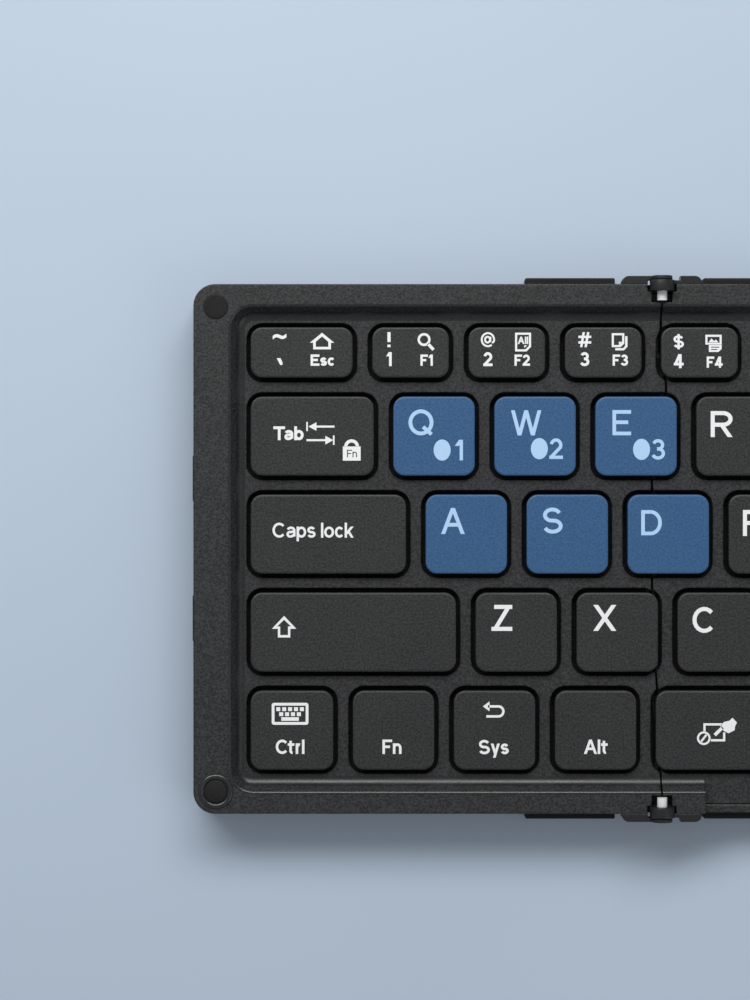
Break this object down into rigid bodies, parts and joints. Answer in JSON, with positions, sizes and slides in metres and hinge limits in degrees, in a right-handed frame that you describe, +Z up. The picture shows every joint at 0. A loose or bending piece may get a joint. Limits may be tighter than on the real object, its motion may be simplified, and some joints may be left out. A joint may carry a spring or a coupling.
{
  "type": "folding keyboard",
  "caption": "Slim folding keyboard in hinged leaves, with raised rims, sunk keys that travel, a touchpad leaf and rubber feet; the side leaves fold up and over the centre.",
  "frame": {"origin": "on the table under the middle of the open keyboard, at the height of the feet's undersides", "axes": "+X to the right along the keyboard, +Y to its rear edge, +Z up"},
  "size_m": [0.3216, 0.093, 0.0116],
  "materials": {
    "casing_black": "fine grained matte",
    "cap_black": "smooth matte",
    "cap_blue": "smooth matte",
    "rubber_black": "matte",
    "hinge_black": "black coat",
    "pin_steel": "bright",
    "board_green": "satin",
    "dome_grey": "matte",
    "touchpad_grey": "very fine matte",
    "battery_foil": "matte foil",
    "socket_steel": "satin"
  },
  "bodies": {
    "centre_leaf": {"centre_frame": "casing_black", "centre_deck": "casing_black", "centre_bottom_cover": "casing_black", "centre_circuit_board": "board_green", "centre_dome_sheet": "dome_grey", "centre_feet": "rubber_black", "centre_hinge_arms": "hinge_black", "hinge_pins": "pin_steel"},
    "left_leaf": {"left_frame": "casing_black", "left_deck": "casing_black", "left_bottom_cover": "casing_black", "left_circuit_board": "board_green", "left_dome_sheet": "dome_grey", "left_feet": "rubber_black", "left_bumpers": "rubber_black", "left_hinge_arms": "hinge_black"},
    "right_leaf": {"right_frame": "casing_black", "right_deck": "casing_black", "right_bottom_cover": "casing_black", "right_circuit_board": "board_green", "right_feet": "rubber_black", "right_bumpers": "rubber_black", "right_hinge_arms": "hinge_black", "touchpad": "touchpad_grey", "battery": "battery_foil", "charging_socket": "socket_steel"},
    "escape_cap": {"escape_key": "cap_black"},
    "one_cap": {"one_key": "cap_black"},
    "two_cap": {"two_key": "cap_black"},
    "three_cap": {"three_key": "cap_black"},
    "tab_cap": {"tab_key": "cap_black"},
    "q_cap": {"q_key": "cap_blue"},
    "w_cap": {"w_key": "cap_blue"},
    "e_cap": {"e_key": "cap_blue"},
    "caps_cap": {"caps_key": "cap_black"},
    "a_cap": {"a_key": "cap_blue"},
    "s_cap": {"s_key": "cap_blue"},
    "left_shift_cap": {"left_shift_key": "cap_black"},
    "z_cap": {"z_key": "cap_black"},
    "x_cap": {"x_key": "cap_black"},
    "control_cap": {"control_key": "cap_black"},
    "function_cap": {"function_key": "cap_black"},
    "system_cap": {"system_key": "cap_black"},
    "alternate_cap": {"alternate_key": "cap_black"},
    "four_cap": {"four_key": "cap_black"},
    "r_cap": {"r_key": "cap_black"},
    "d_cap": {"d_key": "cap_blue"},
    "f_cap": {"f_key": "cap_black"},
    "c_cap": {"c_key": "cap_black"},
    "space_cap": {"space_key": "cap_black"},
    "number_row": {"number_row_keys": "cap_black"},
    "upper_row": {"upper_row_keys": "cap_black"},
    "home_row": {"home_row_keys": "cap_black"},
    "lower_row": {"lower_row_keys": "cap_black"},
    "bottom_row": {"bottom_row_keys": "cap_black"}
  },
  "joints": [
    {"name": "left_fold", "type": "hinge", "parent": "centre_leaf", "child": "left_leaf", "pos_m": [-0.0806, 0, 0.0095], "axis": [0, 1, 0], "range_deg": [0, 180]},
    {"name": "right_fold", "type": "hinge", "parent": "centre_leaf", "child": "right_leaf", "pos_m": [0.0806, 0, 0.0095], "axis": [0, -1, 0], "range_deg": [0, 180]},
    {"name": "escape_press", "type": "slide", "parent": "left_leaf", "child": "escape_cap", "axis": [0, 0, -1], "range_m": [0, 0.0014], "stiffness_N_per_m": 300, "springref_m": -0.0005, "deforming": ["left_dome_sheet"]},
    {"name": "one_press", "type": "slide", "parent": "left_leaf", "child": "one_cap", "axis": [0, 0, -1], "range_m": [0, 0.0014], "stiffness_N_per_m": 300, "springref_m": -0.0005},
    {"name": "two_press", "type": "slide", "parent": "left_leaf", "child": "two_cap", "axis": [0, 0, -1], "range_m": [0, 0.0014], "stiffness_N_per_m": 300, "springref_m": -0.0005},
    {"name": "three_press", "type": "slide", "parent": "left_leaf", "child": "three_cap", "axis": [0, 0, -1], "range_m": [0, 0.0014], "stiffness_N_per_m": 300, "springref_m": -0.0005},
    {"name": "tab_press", "type": "slide", "parent": "left_leaf", "child": "tab_cap", "axis": [0, 0, -1], "range_m": [0, 0.0014], "stiffness_N_per_m": 300, "springref_m": -0.0005},
    {"name": "q_press", "type": "slide", "parent": "left_leaf", "child": "q_cap", "axis": [0, 0, -1], "range_m": [0, 0.0014], "stiffness_N_per_m": 300, "springref_m": -0.0005},
    {"name": "w_press", "type": "slide", "parent": "left_leaf", "child": "w_cap", "axis": [0, 0, -1], "range_m": [0, 0.0014], "stiffness_N_per_m": 300, "springref_m": -0.0005},
    {"name": "e_press", "type": "slide", "parent": "left_leaf", "child": "e_cap", "axis": [0, 0, -1], "range_m": [0, 0.0014], "stiffness_N_per_m": 300, "springref_m": -0.0005},
    {"name": "caps_press", "type": "slide", "parent": "left_leaf", "child": "caps_cap", "axis": [0, 0, -1], "range_m": [0, 0.0014], "stiffness_N_per_m": 300, "springref_m": -0.0005},
    {"name": "a_press", "type": "slide", "parent": "left_leaf", "child": "a_cap", "axis": [0, 0, -1], "range_m": [0, 0.0014], "stiffness_N_per_m": 300, "springref_m": -0.0005},
    {"name": "s_press", "type": "slide", "parent": "left_leaf", "child": "s_cap", "axis": [0, 0, -1], "range_m": [0, 0.0014], "stiffness_N_per_m": 300, "springref_m": -0.0005},
    {"name": "left_shift_press", "type": "slide", "parent": "left_leaf", "child": "left_shift_cap", "axis": [0, 0, -1], "range_m": [0, 0.0014], "stiffness_N_per_m": 300, "springref_m": -0.0005},
    {"name": "z_press", "type": "slide", "parent": "left_leaf", "child": "z_cap", "axis": [0, 0, -1], "range_m": [0, 0.0014], "stiffness_N_per_m": 300, "springref_m": -0.0005},
    {"name": "x_press", "type": "slide", "parent": "left_leaf", "child": "x_cap", "axis": [0, 0, -1], "range_m": [0, 0.0014], "stiffness_N_per_m": 300, "springref_m": -0.0005},
    {"name": "control_press", "type": "slide", "parent": "left_leaf", "child": "control_cap", "axis": [0, 0, -1], "range_m": [0, 0.0014], "stiffness_N_per_m": 300, "springref_m": -0.0005},
    {"name": "function_press", "type": "slide", "parent": "left_leaf", "child": "function_cap", "axis": [0, 0, -1], "range_m": [0, 0.0014], "stiffness_N_per_m": 300, "springref_m": -0.0005},
    {"name": "system_press", "type": "slide", "parent": "left_leaf", "child": "system_cap", "axis": [0, 0, -1], "range_m": [0, 0.0014], "stiffness_N_per_m": 300, "springref_m": -0.0005},
    {"name": "alternate_press", "type": "slide", "parent": "left_leaf", "child": "alternate_cap", "axis": [0, 0, -1], "range_m": [0, 0.0014], "stiffness_N_per_m": 300, "springref_m": -0.0005},
    {"name": "four_press", "type": "slide", "parent": "centre_leaf", "child": "four_cap", "axis": [0, 0, -1], "range_m": [0, 0.0014], "stiffness_N_per_m": 300, "springref_m": -0.0005, "deforming": ["centre_dome_sheet"]},
    {"name": "r_press", "type": "slide", "parent": "centre_leaf", "child": "r_cap", "axis": [0, 0, -1], "range_m": [0, 0.0014], "stiffness_N_per_m": 300, "springref_m": -0.0005},
    {"name": "d_press", "type": "slide", "parent": "centre_leaf", "child": "d_cap", "axis": [0, 0, -1], "range_m": [0, 0.0014], "stiffness_N_per_m": 300, "springref_m": -0.0005},
    {"name": "f_press", "type": "slide", "parent": "centre_leaf", "child": "f_cap", "axis": [0, 0, -1], "range_m": [0, 0.0014], "stiffness_N_per_m": 300, "springref_m": -0.0005},
    {"name": "c_press", "type": "slide", "parent": "centre_leaf", "child": "c_cap", "axis": [0, 0, -1], "range_m": [0, 0.0014], "stiffness_N_per_m": 300, "springref_m": -0.0005},
    {"name": "space_press", "type": "slide", "parent": "centre_leaf", "child": "space_cap", "axis": [0, 0, -1], "range_m": [0, 0.0014], "stiffness_N_per_m": 300, "springref_m": -0.0005},
    {"name": "number_row_press", "type": "slide", "parent": "centre_leaf", "child": "number_row", "axis": [0, 0, -1], "range_m": [0, 0.0014], "stiffness_N_per_m": 600, "springref_m": -0.0005},
    {"name": "upper_row_press", "type": "slide", "parent": "centre_leaf", "child": "upper_row", "axis": [0, 0, -1], "range_m": [0, 0.0014], "stiffness_N_per_m": 600, "springref_m": -0.0005},
    {"name": "home_row_press", "type": "slide", "parent": "centre_leaf", "child": "home_row", "axis": [0, 0, -1], "range_m": [0, 0.0014], "stiffness_N_per_m": 600, "springref_m": -0.0005},
    {"name": "lower_row_press", "type": "slide", "parent": "centre_leaf", "child": "lower_row", "axis": [0, 0, -1], "range_m": [0, 0.0014], "stiffness_N_per_m": 600, "springref_m": -0.0005},
    {"name": "bottom_row_press", "type": "slide", "parent": "centre_leaf", "child": "bottom_row", "axis": [0, 0, -1], "range_m": [0, 0.0014], "stiffness_N_per_m": 600, "springref_m": -0.0005}
  ]
}
